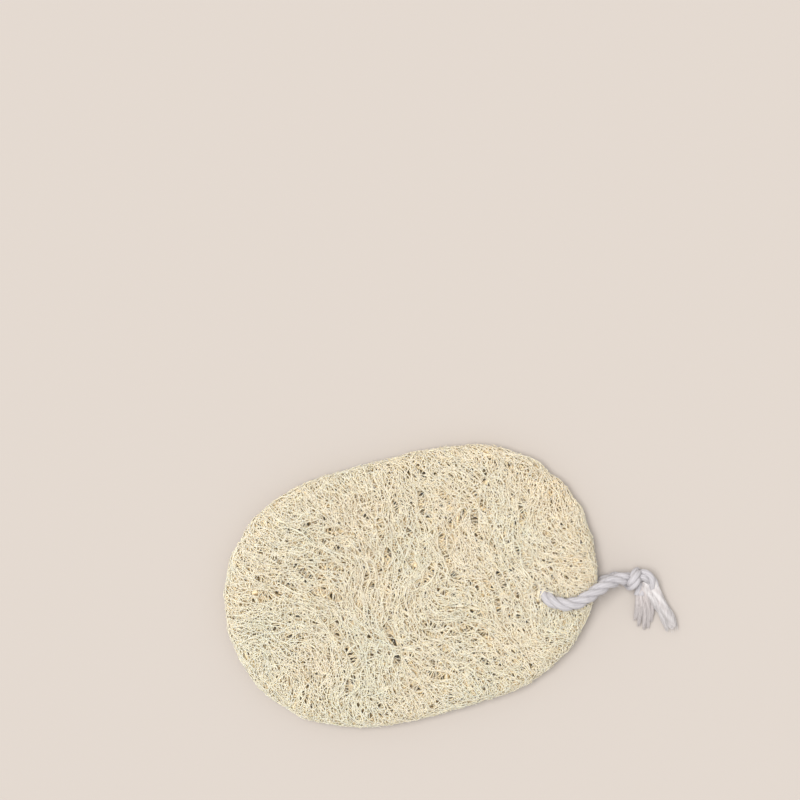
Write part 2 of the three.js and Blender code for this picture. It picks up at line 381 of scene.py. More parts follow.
def fibre_sweep():
    """A tree that sweeps each line of a mesh into a closed thread of the line's own thickness."""
    tree = bpy.data.node_groups.new("fibre_sweep", "GeometryNodeTree")
    for name, kind in (
        ("Lines", "NodeSocketGeometry"),
        ("Sides", "NodeSocketInt"),
        ("Material", "NodeSocketMaterial"),
    ):
        tree.interface.new_socket(name, in_out="INPUT", socket_type=kind)
    tree.interface.new_socket("Fibres", in_out="OUTPUT", socket_type="NodeSocketGeometry")
    given = tree.nodes.new("NodeGroupInput")
    result = tree.nodes.new("NodeGroupOutput")
    to_curve = tree.nodes.new("GeometryNodeMeshToCurve")
    section = tree.nodes.new("GeometryNodeCurvePrimitiveCircle")
    section.inputs["Radius"].default_value = 1
    thickness = tree.nodes.new("GeometryNodeInputNamedAttribute")
    thickness.data_type = "FLOAT"
    thickness.inputs["Name"].default_value = "thickness"
    sweep = tree.nodes.new("GeometryNodeCurveToMesh")
    sweep.inputs["Fill Caps"].default_value = True
    realize = tree.nodes.new("GeometryNodeRealizeInstances")
    paint = tree.nodes.new("GeometryNodeSetMaterial")
    join_sockets(tree, (
        (given.outputs["Lines"], to_curve.inputs["Mesh"]),
        (given.outputs["Sides"], section.inputs["Resolution"]),
        (given.outputs["Material"], paint.inputs["Material"]),
        (to_curve.outputs["Curve"], sweep.inputs["Curve"]),
        (section.outputs["Curve"], sweep.inputs["Profile Curve"]),
        (thickness.outputs["Attribute"], sweep.inputs["Scale"]),
        (sweep.outputs["Mesh"], realize.inputs["Geometry"]),
        (realize.outputs["Geometry"], paint.inputs["Geometry"]),
        (paint.outputs["Geometry"], result.inputs["Fibres"]),
    ))
    return tree


sweep_tree = fibre_sweep()


def line_edges(kept):
    """The edges along rows of points. Only the kept points count, in their order."""
    number = np.cumsum(kept.ravel()).reshape(kept.shape) - 1
    joined = kept[:, :-1] & kept[:, 1:]
    return np.column_stack([number[:, :-1][joined], number[:, 1:][joined]])


THREAD_SIDES = 3


def swept_fibres(name, points, edges, thickness, shades, material):
    """A plain mesh of threads that follow the edges between points."""
    mesh = bpy.data.meshes.new(name)
    mesh.vertices.add(len(points))
    mesh.vertices.foreach_set("co", points.ravel().astype(np.float32))
    mesh.edges.add(len(edges))
    mesh.edges.foreach_set("vertices", edges.ravel().astype(np.int32))
    for label, values in {"thickness": thickness, **shades}.items():
        attribute = mesh.attributes.new(label, "FLOAT", "POINT")
        attribute.data.foreach_set("value", values.astype(np.float32))
    threads = bpy.data.objects.new(name, mesh)
    bpy.context.scene.collection.objects.link(threads)
    modifier = threads.modifiers.new("fibres", "NODES")
    modifier.node_group = sweep_tree
    for socket in sweep_tree.interface.items_tree:
        if socket.name == "Sides":
            modifier[socket.identifier] = THREAD_SIDES
        if socket.name == "Material":
            modifier[socket.identifier] = material
    finished = threads.evaluated_get(bpy.context.evaluated_depsgraph_get())
    plain = bpy.data.meshes.new_from_object(finished)
    threads.modifiers.remove(modifier)
    bpy.data.objects.remove(threads)
    plain.name = name
    return plain


def lint_lines(line, radius, draw):
    """Short curved hairs that start in a rope's surface and lean away from it."""
    ahead, side, up = frames_along(line)
    number = int(LINT_PER_LENGTH * lengths_along(line)[-1])
    at = draw.integers(0, len(line), number)
    turn = draw.uniform(0, 2 * math.pi, number)[:, None]
    out = np.cos(turn) * side[at] + np.sin(turn) * up[at]
    root = line[at] + LINT_ROOT * radius * out
    stray = draw.normal(0, LINT_STRAY, (number, 3))
    lean = unit(out * LINT_OUTWARDS + stray + LINT_ONWARDS * ahead[at])
    bend = draw.normal(0, LINT_BEND, (number, 3))
    share = np.linspace(0, 1, LINT_POINTS)[None, :, None]
    reach = draw.uniform(*LINT_LENGTH, number)[:, None, None]
    lines = root[:, None] + reach * (lean[:, None] * share + bend[:, None] * share**2)
    lines[..., 2] = np.maximum(lines[..., 2], LINT_THICKNESS)
    return lines


for run_name, run_line in run_lines.items():
    draw = np.random.default_rng(LINT_SEED)
    lines = lint_lines(run_line, 0.5 * CORD_DIAMETER, draw)
    whole = np.ones(lines.shape[:2], bool)
    mesh = swept_fibres(
        f"cord_lint_{run_name}", lines.reshape(-1, 3), line_edges(whole),
        np.full(whole.size, LINT_THICKNESS), {"crest": np.ones(whole.size)}, cotton,
    )
    piece = new_piece(f"cord_lint_{run_name}", mesh, cotton)
    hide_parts(f"cord_{run_name}_run")


# The frayed ends: past the knot the strands come unlaid into soft bundles of cotton
# fibres. The long end stays together to a round tip, and the short one parts in tufts.
# Each tuft has its route, its radius at each place, and a cloud of finer fibres round it.
TUFT_SIDES = 14
TUFT_STEP = 0.0006
TUFT_LOBES = 3
TUFT_TWIST = 260
TUFT_WAIST = 0.86
TUFT_SWELL = 0.16
TUFT_TIP = 0.05
TUFT_FLOOR_GAP = 0.0002
# The crest in the grooves between a tuft's lobes, where the frayed material paints shade
GROOVE_CREST = 0.35
FILAMENTS = 70
FILAMENT_POINTS = 12
FILAMENT_THICKNESS = 0.00006
FILAMENT_START = (0, 0.75)
FILAMENT_STOP = (0.85, 1.06)
FILAMENT_TURN = 5
FILAMENT_ROOT = 0.96
FILAMENT_STRAY = (0, 0.5)
FILAMENT_SEED = 3

# The last number of each place is the tuft's radius there
LONG_END = [
    [
        (0.0877, -0.0198, 0.0046, 0.0019), (0.0881, -0.0230, 0.0036, 0.0019),
        (0.0889, -0.0266, 0.0030, 0.0017), (0.0899, -0.0313, 0.0025, 0.0017),
        (0.0910, -0.0354, 0.0023, 0.0018), (0.0910, -0.0393, 0.0021, 0.0015),
    ],
    [
        (0.0876, -0.0208, 0.0036, 0.0014), (0.0873, -0.0242, 0.0029, 0.0014),
        (0.0877, -0.0280, 0.0023, 0.0012), (0.0884, -0.0320, 0.0019, 0.0011),
        (0.0889, -0.0355, 0.0015, 0.0010), (0.0891, -0.0387, 0.0012, 0.0006),
    ],
    [
        (0.0848, -0.0189, 0.0042, 0.0012), (0.0855, -0.0223, 0.0034, 0.0015),
        (0.0863, -0.0260, 0.0026, 0.0014), (0.0870, -0.0292, 0.0020, 0.0010),
        (0.0878, -0.0318, 0.0015, 0.0005),
    ],
]
SHORT_END = [
    [
        (0.0824, -0.0216, 0.0025, 0.0012), (0.0813, -0.0247, 0.0024, 0.0010),
        (0.0799, -0.0288, 0.0018, 0.0008), (0.0783, -0.0325, 0.0012, 0.0004),
    ],
    [
        (0.0828, -0.0216, 0.0027, 0.0012), (0.0821, -0.0256, 0.0026, 0.0010),
        (0.0807, -0.0304, 0.0018, 0.0008), (0.0791, -0.0348, 0.0011, 0.0004),
    ],
    [
        (0.0832, -0.0214, 0.0023, 0.0012), (0.0832, -0.0259, 0.0020, 0.0011),
        (0.0823, -0.0311, 0.0016, 0.0008), (0.0808, -0.0364, 0.0010, 0.0004),
    ],
    [
        (0.0837, -0.0208, 0.0028, 0.0012), (0.0845, -0.0255, 0.0026, 0.0011),
        (0.0839, -0.0308, 0.0019, 0.0007), (0.0823, -0.0363, 0.0011, 0.0004),
    ],
    [
        (0.0841, -0.0203, 0.0024, 0.0012), (0.0855, -0.0258, 0.0019, 0.0012),
        (0.0853, -0.0305, 0.0015, 0.0007), (0.0840, -0.0343, 0.0010, 0.0004),
    ],
]


def tuft_tube(tuft):
    """The rings of one tuft's slightly lumpy body, and the points' crests."""
    route = curve_through(tuft, TUFT_STEP)
    along = lengths_along(route)
    _, side, up = frames_along(route[:, :3])
    turn = np.linspace(0, 2 * math.pi, TUFT_SIDES, endpoint=False)
    twisted = turn[None, :] + TUFT_TWIST * along[:, None]
    lobes = 0.5 + 0.5 * np.cos(TUFT_LOBES * twisted)
    rounding = np.sqrt(np.clip((along[-1] - along) / route[-1, 3] + TUFT_TIP, 0, 1))
    reach = (route[:, 3] * rounding)[:, None] * (TUFT_WAIST + TUFT_SWELL * lobes)
    out = np.cos(turn)[None, :, None] * side[:, None] + np.sin(turn)[None, :, None] * up[:, None]
    ring = route[:, None, :3] + reach[..., None] * out
    ring[..., 2] = np.maximum(ring[..., 2], TUFT_FLOOR_GAP)
    # Low crests, between the lobes, get painted shade
    return ring, GROOVE_CREST + (1 - GROOVE_CREST) * lobes


def tuft_filaments(tuft, draw):
    """Fine fibres that follow a tuft's surface and stray from it towards its tip."""
    route = curve_through(tuft, TUFT_STEP)
    along = lengths_along(route) / lengths_along(route)[-1]
    _, side, up = frames_along(route[:, :3])
    start = draw.uniform(*FILAMENT_START, FILAMENTS)[:, None]
    stop = draw.uniform(*FILAMENT_STOP, FILAMENTS)[:, None]
    share = start + (stop - start) * np.linspace(0, 1, FILAMENT_POINTS)
    columns = np.column_stack([route, side, up]).T
    line = np.stack([np.interp(share, along, column) for column in columns], axis=-1)
    onwards = (route[-1, :3] - route[-3, :3]) / (along[-1] - along[-3])
    beyond = np.clip(share - 1, 0, None)[..., None] * onwards
    turn = draw.uniform(0, 2 * math.pi, FILAMENTS)[:, None] + FILAMENT_TURN * (share - start)
    stray = FILAMENT_ROOT + draw.uniform(*FILAMENT_STRAY, FILAMENTS)[:, None] * share**2
    out = np.cos(turn)[..., None] * line[..., 4:7] + np.sin(turn)[..., None] * line[..., 7:10]
    lines = line[..., :3] + beyond + (line[..., 3] * stray)[..., None] * out
    lines[..., 2] = np.maximum(lines[..., 2], FILAMENT_THICKNESS)
    return lines


# The short end's crests are scaled down, so that the whole of it is painted darker with the groove shade
# colour
for end_name, tufts, paleness in (("long", LONG_END, 1.0), ("short", SHORT_END, 0.35)):
    bodies = [tuft_tube(tuft) for tuft in tufts]
    crests = [crest * paleness for _, crest in bodies]
    mesh = tubes_mesh(f"cord_frayed_{end_name}", [tube for tube, _ in bodies], crests)
    body = new_piece(f"cord_frayed_{end_name}", mesh, frayed)
    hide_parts(f"cord_end_{end_name}")
    draw = np.random.default_rng(FILAMENT_SEED)
    lines = np.concatenate([tuft_filaments(tuft, draw) for tuft in tufts])
    whole = np.ones(lines.shape[:2], bool)
    mesh = swept_fibres(
        f"cord_wisps_{end_name}", lines.reshape(-1, 3), line_edges(whole),
        np.full(whole.size, FILAMENT_THICKNESS), {"crest": np.full(whole.size, paleness)}, frayed,
    )
    wisps = new_piece(f"cord_wisps_{end_name}", mesh, frayed)
    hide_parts(f"cord_end_{end_name}")

upper_line, lower_line = run_lines["upper"], run_lines["lower"]


# The pad: a piece of a dried loofah gourd's inner net, cut open, pressed flat and trimmed
# to an oval. Its fibres grew in layers that flow over both faces and wrap round the rim,
# and they part round small windows, with finer cross fibres between.
PAD_TOP = 0.0106
PAD_CROWN = 0.0014
RIM_HEIGHT = 0.0048
EDGE_WIDTH = 0.009
EDGE_ARC = 0.0118
RIM_CLOSENESS = 0.35
OUTLINE_RADIUS = 0.0598

# Waves round the outline: how many, and their cosine and sine parts
OUTLINE_WAVES = ((1, 0, 0.0004), (2, 0.0109, 0), (3, 0, 0.0004), (4, -0.00055, 0), (6, -0.00015, 0))

# Where the cord runs under the rim, the pad is lifted, and its top bulges by a share of that
PINCH = (0.058, -0.0173)
PINCH_SPREAD = 0.013
PINCH_UNDER = 0.0059
PINCH_ABOVE = 0.3


def outline_radius(angle):
    """How far from the pad's middle its outline lies in a direction."""
    return OUTLINE_RADIUS + sum(
        cosine * np.cos(turns * angle) + sine * np.sin(turns * angle)
        for turns, cosine, sine in OUTLINE_WAVES
    )


def pad_points(flat, side, depth):
    """Points of an unrolled face, laid on the pad and round its rim, at a depth under its skin.
    The side is 1 for the top face and -1 for the underside."""
    angle = np.arctan2(flat[..., 1], flat[..., 0])
    from_middle = np.hypot(flat[..., 0], flat[..., 1])
    rim = outline_radius(angle)
    turn = np.clip((from_middle - rim + EDGE_WIDTH) / EDGE_ARC, 0, 2) * (math.pi / 2)
    from_middle = np.where(turn > 0, rim - EDGE_WIDTH * (1 - np.sin(turn)), from_middle)
    x, y = from_middle * np.cos(angle), from_middle * np.sin(angle)
    pinch = np.exp(-0.5 * ((x - PINCH[0]) ** 2 + (y - PINCH[1]) ** 2) / PINCH_SPREAD**2)
    middle = RIM_HEIGHT + 0.5 * PINCH_UNDER * pinch
    top = PAD_TOP + PAD_CROWN * (1 - (from_middle / rim) ** 2) + PINCH_UNDER * PINCH_ABOVE * pinch
    underside = PINCH_UNDER * pinch
    near, far = (top, underside) if side > 0 else (underside, top)
    height = middle + np.where(turn < math.pi / 2, near - middle, middle - far) * np.cos(turn)
    outward = np.sin(turn) / EDGE_WIDTH
    upward = side * np.cos(turn) / np.abs(near - middle)
    depth = depth * (1 - RIM_CLOSENESS * np.sin(turn)) / np.hypot(outward, upward)
    return np.stack(
        [
            x - depth * outward * np.cos(angle),
            y - depth * outward * np.sin(angle),
            height - depth * upward,
        ],
        axis=-1,
    )


def inside_face(flat, wrap, beyond=0):
    """Whether points of an unrolled face lie within it. It ends at the rim where wrap is 1."""
    angle = np.arctan2(flat[..., 1], flat[..., 0])
    end = outline_radius(angle) - EDGE_WIDTH + EDGE_ARC * wrap
    return np.hypot(flat[..., 0], flat[..., 1]) < end + beyond


NOISE_WAVES = 9
NOISE_SPREAD = (0.7, 1.5)


def soft_noise(points, wavelength, seed):
    """A smooth random value, mostly from -1 to 1, made of a few waves in seeded directions."""
    draw = np.random.default_rng(seed)
    total = np.zeros(points.shape[:-1])
    for _ in range(NOISE_WAVES):
        direction = unit(draw.normal(size=points.shape[-1]))
        pace = 2 * math.pi / (wavelength * draw.uniform(*NOISE_SPREAD))
        total += np.sin(points @ direction * pace + draw.uniform(0, 2 * math.pi))
    return total / math.sqrt(NOISE_WAVES)


FIBRE_HEADING = math.radians(115)
RIM_PULL = 0.35
RIM_PULL_WIDTH = 0.002

# Sways of the heading: degrees, wavelength, seed
SWAYS = ((22, 0.050, 11), (16, 0.020, 31), (16, 0.009, 41))

# Swirls in the flow: place, reach, degrees
SWIRLS = (
    (0.010, 0.012, 0.013, -32), (0.013, -0.012, 0.012, 45), (0.000, 0.000, 0.008, -60),
    (-0.040, 0.010, 0.016, 25), (0.045, 0.020, 0.014, -28), (-0.030, -0.022, 0.014, -24),
)


def heading_at(flat, side):
    """The way the fibres run over a face. Near the rim they turn to wrap over it."""
    heading = FIBRE_HEADING
    for sway, wavelength, seed in SWAYS:
        heading = heading + math.radians(sway) * soft_noise(flat, wavelength, seed + side)
    for x, y, reach, turn in SWIRLS:
        away = (flat[..., 0] - x) ** 2 + (flat[..., 1] - side * y) ** 2
        heading = heading + math.radians(turn) * np.exp(-0.5 * away / reach**2)
    outwards = np.arctan2(flat[..., 1], flat[..., 0])
    from_rim = outline_radius(outwards) - np.hypot(flat[..., 0], flat[..., 1])
    wrap = RIM_PULL / (1 + np.exp((from_rim - EDGE_WIDTH) / RIM_PULL_WIDTH))
    heading, outwards = heading - FIBRE_HEADING, outwards - FIBRE_HEADING
    east = (1 - wrap) * np.cos(2 * heading) + wrap * np.cos(2 * outwards)
    north = (1 - wrap) * np.sin(2 * heading) + wrap * np.sin(2 * outwards)
    return FIBRE_HEADING + 0.5 * np.arctan2(north, east)


def way_of(heading):
    """A step of length one along each heading."""
    return np.stack([np.cos(heading), np.sin(heading)], axis=-1)


def square_to(way):
    """The same steps, turned a quarter to the left."""
    return np.stack([-way[..., 1], way[..., 0]], axis=-1)


# These shares of a square's sides, stepped again and again, fill it without clumps
EVEN_STEPS = (0.7548776662, 0.5698402910)
STREWN_JITTER = 0.35


def strewn(number, half_size, seed):
    """Points spread evenly, but in no pattern, over a square."""
    index = np.arange(1, number + 1)[:, None]
    draw = np.random.default_rng(seed)
    even = (index * np.array(EVEN_STEPS) + draw.random(2)) % 1
    even += draw.normal(0, STREWN_JITTER / math.sqrt(number), even.shape)
    return half_size * (2 * even - 1)


# The field is half the side of the square that the windows' middles are strewn over
WINDOWS_STREWN = 760
WINDOW_FIELD = 0.075
WINDOW_RIM_ROOM = 0.004
WINDOW_PATCHES = 0.022
WINDOW_THINNING = (-1.5, 0.8)
WINDOW_HALF_WIDTH = (0.0008, 0.0017)
WINDOW_STRETCH = (1.1, 1.9)
WINDOW_SKEW = 0.25
WINDOW_TAPER = 0.7
WINDOW_REACH = 0.12
WINDOW_SEED = 51


def face_windows(side):
    """The windows of a face: middle, half width, stretch, and the ways along and across."""
    draw = np.random.default_rng(WINDOW_SEED + side)
    middles = strewn(WINDOWS_STREWN, WINDOW_FIELD, WINDOW_SEED + 1 + side)
    middles = middles[inside_face(middles, 0, -WINDOW_RIM_ROOM)]
    crowd = soft_noise(middles, WINDOW_PATCHES, WINDOW_SEED + 2 + side)
    middles = middles[crowd > draw.uniform(*WINDOW_THINNING, len(middles))]
    least, most = WINDOW_HALF_WIDTH
    half_width = least + (most - least) * draw.random(len(middles)) ** 2
    stretch = draw.uniform(*WINDOW_STRETCH, len(middles))
    way = way_of(heading_at(middles, side) + draw.normal(0, WINDOW_SKEW, len(middles)))
    return list(zip(middles, half_width, stretch, way, square_to(way)))


windows = {side: face_windows(side) for side in (1, -1)}


def part_round_windows(flat, side, opening):
    """Moves points sideways out of the windows, so that the fibres flow round them."""
    for middle, half_width, stretch, way, aside in windows[side]:
        gap = flat - middle
        along = (gap @ way) / (half_width * stretch)
        across = (gap @ aside) / half_width
        push = np.sqrt(across**2 + opening * np.exp(-WINDOW_TAPER * along**2)) - np.abs(across)
        push *= np.exp(-WINDOW_REACH * across**2) * np.sign(across) * half_width
        flat = flat + push[..., None] * aside
    return flat


BUNDLE_SPACING = 0.0046
BUNDLING = 0.00035


def bundled(flat, seed):
    """Draws fibres together into loose bundles, with gaps between them."""
    shift = [soft_noise(flat, BUNDLE_SPACING, seed), soft_noise(flat, BUNDLE_SPACING, seed + 1)]
    return flat + BUNDLING * np.stack(shift, axis=-1)


def smoothed(lines):
    """Lines whose inner points are drawn half way towards the middle of their neighbours."""
    inner = 0.25 * lines[:, :-2] + 0.5 * lines[:, 1:-1] + 0.25 * lines[:, 2:]
    return np.concatenate([lines[:, :1], inner, lines[:, -1:]], axis=1)


# Half the side of the square that a layer's fibres are strewn over
FIELD = 0.080
FIBRE_STEP = 0.0015
FIBRE_DRIFT = 0.09


def grow_fibres(number, steps, lean, spread, side, wrap, opening, seed):
    """Lines on an unrolled face that follow its flow, from seeds strewn evenly over it."""
    draw = np.random.default_rng(seed)
    turned = lean * draw.choice([-1, 1], number) + draw.normal(0, spread, number)
    turned += math.pi * draw.integers(0, 2, number)
    drift = draw.normal(0, FIBRE_DRIFT, number)
    lines = [strewn(number, FIELD, seed)]
    before = None
    for _ in range(steps - 1):
        way = way_of(heading_at(lines[-1], side) + turned)
        turned = turned + drift
        if before is not None:
            way *= np.sign((way * before).sum(axis=1, keepdims=True))
        lines.append(lines[-1] + FIBRE_STEP * way)
        before = way
    lines = np.stack(lines, axis=1)
    kept = inside_face(lines, wrap)
    lines = smoothed(smoothed(part_round_windows(bundled(lines, seed), side, opening)))
    fibre = np.broadcast_to(np.arange(number)[:, None], kept.shape)
    rise = draw.random(number)[:, None] ** 2 * np.linspace(0, 1, steps) ** 2
    return lines[kept], line_edges(kept), fibre[kept], rise[kept]


RIM_THINNING = 0.40
NET_SWAY = 0.22
NET_ROUNDS = 2
NET_PULL = 0.45
NEAR_POINTS = 14
NEAREST = 1e-6
LINK_REACH = 0.0026
LINK_BEND_COST = 2.2
RUN_STRAIGHTNESS = 0.6
CROSS_STRAIGHTNESS = 0.7
CROSS_LINKS = 0.42


def neighbours(flat):
    """The numbers of the points nearest to each point, and how far off they are. The point
    itself is one of them, and is put too far off to be linked."""
    tree = KDTree(len(flat))
    for number, (x, y) in enumerate(flat):
        tree.insert((x, y, 0), number)
    tree.balance()
    found = [tree.find_n((x, y, 0), NEAR_POINTS + 1) for x, y in flat]
    near = np.array([[number for _, number, _ in row] for row in found])
    apart = np.maximum(np.array([[distance for _, _, distance in row] for row in found]), NEAREST)
    apart[near == np.arange(len(flat))[:, None]] = 1
    return near, apart


def best_links(points, ways, near, apart, least):
    """For each point, the near point that lies most nearly straight along its way, or -1."""
    step = points[near] - points[:, None]
    straight = (step * ways[:, None]).sum(axis=-1) / apart
    cost = apart * (1 + LINK_BEND_COST * (1 - straight))
    cost = np.where((straight > least) & (apart < LINK_REACH), cost, np.inf)
    best = cost.argmin(axis=1)
    rows = np.arange(len(points))
    return np.where(np.isfinite(cost[rows, best]), near[rows, best], -1)


def eased(flat, links):
    """Draws each point of a net towards the middle of those that it is linked to."""
    for _ in range(NET_ROUNDS):
        total, count = np.zeros_like(flat), np.zeros(len(flat))
        for one, other in ((0, 1), (1, 0)):
            np.add.at(total, links[:, one], flat[links[:, other]])
            np.add.at(count, links[:, one], 1)
        mean = total / np.maximum(count, 1)[:, None]
        flat = np.where((count > 1)[:, None], flat + NET_PULL * (mean - flat), flat)
    return flat


def as_chains(flat, links):
    """Gives each point at most one link in and one out, so that links run on as long fibres.
    A link that finds its place taken ends on a copy of the point."""
    taken = np.zeros((len(flat), 2), bool)
    copied = []
    chained = []
    seen = set()
    for start, end in links.tolist():
        if (start, end) in seen or (end, start) in seen:
            continue
        seen.add((start, end))
        ends = []
        for point, slot in ((start, 1), (end, 0)):
            if taken[point, slot]:
                copied.append(point)
                point = len(flat) + len(copied) - 1
            else:
                taken[point, slot] = True
            ends.append(point)
        chained.append(ends)
    return np.concatenate([flat, flat[copied]]), np.array(chained)


def grow_net(spacing, side, wrap, opening, seed):
    """A joined net on an unrolled face: fibres that run along the flow, merge and part again,
    with cross links between them."""
    draw = np.random.default_rng(seed)
    flat = strewn(int((2 * FIELD / spacing) ** 2), FIELD, seed)
    flat = flat[inside_face(flat, wrap)]
    outwards = np.arctan2(flat[:, 1], flat[:, 0])
    over_rim = EDGE_WIDTH - outline_radius(outwards) + np.hypot(flat[:, 0], flat[:, 1])
    flat = flat[draw.random(len(flat)) > RIM_THINNING * np.clip(over_rim / EDGE_ARC, 0, 1)]
    ways = way_of(heading_at(flat, side) + draw.normal(0, NET_SWAY, len(flat)))
    flat = part_round_windows(bundled(flat, seed), side, opening)
    near, apart = neighbours(flat)
    ahead = best_links(flat, ways, near, apart, RUN_STRAIGHTNESS)
    behind = best_links(flat, -ways, near, apart, RUN_STRAIGHTNESS)
    sideways = square_to(ways) * draw.choice([-1, 1], len(flat))[:, None]
    beside = best_links(flat, sideways, near, apart, CROSS_STRAIGHTNESS)
    beside[draw.random(len(flat)) > CROSS_LINKS] = -1
    number = np.arange(len(flat))
    links = np.concatenate([
        np.column_stack([number, ahead])[ahead >= 0],
        np.column_stack([behind, number])[behind >= 0],
    ])
    flat = eased(flat, links)
    pairs = np.unique(np.sort(np.column_stack([number, beside])[beside >= 0], axis=1), axis=0)
    cross = flat[pairs].reshape(-1, 2)
    flat, links = as_chains(flat, links)
    links = np.concatenate([links, len(flat) + np.arange(len(cross)).reshape(-1, 2)])
    flat = np.concatenate([flat, cross])
    return flat, links, np.zeros(len(flat), int), np.zeros(len(flat))


RUNG_POINTS = 4
RUNG_SPACING = 0.00085
RUNG_RANGE = 0.85
RUNG_JITTER = 0.10
RUNGS_MISSING = 0.2
RUNG_REACH = 1.25
RUNG_NARROWING = 0.35
RUNG_FAN = 0.5
RUNG_SKEW = 0.25
RUNG_BOW = 0.1


def window_rungs(side, seed):
    """The short cross fibres that span each window like the rungs of a ladder, a little fanned."""
    draw = np.random.default_rng(seed)
    across = np.linspace(-1, 1, RUNG_POINTS)[:, None]
    lines = []
    for middle, half_width, stretch, way, aside in windows[side]:
        number = max(2, round(2 * half_width * stretch / RUNG_SPACING))
        places = np.linspace(-RUNG_RANGE, RUNG_RANGE, number) + draw.normal(0, RUNG_JITTER, number)
        for place in places:
            if draw.random() < RUNGS_MISSING:
                continue
            reach = RUNG_REACH * half_width * math.exp(-RUNG_NARROWING * place**2)
            fan = draw.normal(RUNG_FAN * place, RUNG_SKEW)
            bow = draw.normal(0, RUNG_BOW) * (1 - across**2)
            at = middle + way * half_width * stretch * place
            lines.append(at + reach * (across * aside + (fan * across + bow) * way))
    lines = np.array(lines)
    fibre = np.repeat(np.arange(len(lines)), RUNG_POINTS)
    whole = np.ones(lines.shape[:2], bool)
    return lines.reshape(-1, 2), line_edges(whole), fibre, np.zeros(len(fibre))


WISPS = 520
WISP_POINTS = 4
WISP_ROOT = (0.5, 1.0)
WISP_LEAN = 0.9
WISP_LENGTH = (0.0008, 0.0020)
WISP_RISE = (0.2, 0.7)
WISP_CURL = 1.5


def rim_wisps(seed):
    """Short fibres rooted at the rim, whose free ends stand out from it."""
    draw = np.random.default_rng(seed)
    outwards = draw.uniform(0, 2 * math.pi, WISPS)
    root = outline_radius(outwards) - EDGE_WIDTH + EDGE_ARC * draw.uniform(*WISP_ROOT, WISPS)
    heading = outwards + draw.normal(0, WISP_LEAN, WISPS)
    reach = draw.uniform(*WISP_LENGTH, WISPS)
    share = np.linspace(0, 1, WISP_POINTS)
    x = (root * np.cos(outwards))[:, None] + (reach * np.cos(heading))[:, None] * share
    y = (root * np.sin(outwards))[:, None] + (reach * np.sin(heading))[:, None] * share
    rise = draw.uniform(*WISP_RISE, WISPS)[:, None] * share**WISP_CURL
    fibre = np.repeat(np.arange(WISPS), WISP_POINTS)
    edges = line_edges(np.ones(x.shape, bool))
    return np.column_stack([x.ravel(), y.ravel()]), edges, fibre, rise.ravel()


# One in three places of the cord's lines is enough to keep the fibres off it
HOLE_RADIUS = 0.0029
HOLE_STRIDE = 3


def clear_of_cord(points):
    """Moves points out of the cord's way, so that the fibres hug it."""
    for line in (upper_line[::HOLE_STRIDE], lower_line[::HOLE_STRIDE]):
        for place in line:
            away = points - place
            distance = np.linalg.norm(away, axis=-1)
            near = distance < HOLE_RADIUS
            points[near] = place + away[near] * (HOLE_RADIUS / distance[near])[..., None]
    return points


# The layers of each face, from its skin inwards. Wrap is how far round the rim a layer goes,
# spacing is that of its net, if it has one, loose is the number of each kind of loose fibre,
# and opening is how far its fibres part round the windows. The column after opening browns
# a layer with painted shade, more the deeper it lies
Layer = namedtuple("Layer", "name side depth wrap spacing loose opening brownness half_thickness")
LAYERS = (
    Layer("top_1", 1, 0.0003, 1.10, 0.00118, (420, 100, 300), 1.00, 0.00, 0.00016),
    Layer("top_2", 1, 0.0006, 1.05, 0.00124, (160, 120, 300), 1.00, 0.10, 0.00016),
    Layer("top_3", 1, 0.0010, 1.00, 0.00145, (160, 160, 500), 1.00, 0.30, 0.00017),
    Layer("top_4", 1, 0.0015, 1.00, None, (700, 700, 2200), 0.80, 0.60, 0.00022),
    Layer("top_5", 1, 0.0022, 1.00, None, (600, 600, 2000), 0.40, 0.90, 0.00036),
    Layer("top_6", 1, 0.0032, 0.95, 0.00170, (100, 100, 300), 0.00, 1.00, 0.00085),
    Layer("under_1", -1, 0.0003, 1.05, 0.00128, (300, 150, 500), 1.00, 0.00, 0.00017),
    Layer("under_2", -1, 0.0009, 1.00, None, (700, 700, 2400), 1.00, 0.20, 0.00021),
    Layer("under_3", -1, 0.0017, 0.95, None, (640, 640, 2100), 0.60, 0.60, 0.00030),
    Layer("under_4", -1, 0.0030, 0.90, 0.00180, (100, 100, 300), 0.00, 1.00, 0.00085),
)
WISPY_LAYERS = ("top_1", "under_1")
RUNG_LAYERS = ("top_2", "under_1")

# Kinds of loose fibre: points a line, lean off the flow, its spread, share of thickness
LOOSE_FIBRES = ((11, 0.0, 0.35, 1.0), (6, 0.0, 0.90, 0.9), (3, 1.20, 0.40, 0.8))
LOOSE_WEAVE = 0.7
WISP_SHARE = 0.55
RUNG_SHARE = 0.75

# Each layer has a hundred seeds of its own, and these are what is added to its first one
LOOSE_SEEDS = (0, 10, 20)
NET_SEED = 40
RUNG_SEED = 50
WISP_SEED = 55
LAY_SEED = 60
WEAVE_SEED = 70
SWELLING_SEED = 71
PATCH_SEED = 72


def layer_batches(layer, seed):
    """The fibres of a layer, kind by kind: points on the unrolled face, edges, the fibre that
    each point is on, its rise, the kind's share of the thickness, and how freely it weaves."""
    where = (layer.side, layer.wrap, layer.opening)
    batches = []
    for number, (steps, lean, spread, share), own in zip(layer.loose, LOOSE_FIBRES, LOOSE_SEEDS):
        grown = grow_fibres(number, steps, lean, spread, *where, seed + own)
        batches.append((*grown, share, LOOSE_WEAVE))
    if layer.spacing:
        batches.append((*grow_net(layer.spacing, *where, seed + NET_SEED), 1.0, 1.0))
    if layer.name in WISPY_LAYERS:
        batches.append((*rim_wisps(seed + WISP_SEED), WISP_SHARE, 0.0))
    if layer.name in RUNG_LAYERS:
        batches.append((*window_rungs(layer.side, seed + RUNG_SEED), RUNG_SHARE, 1.0))
    return batches


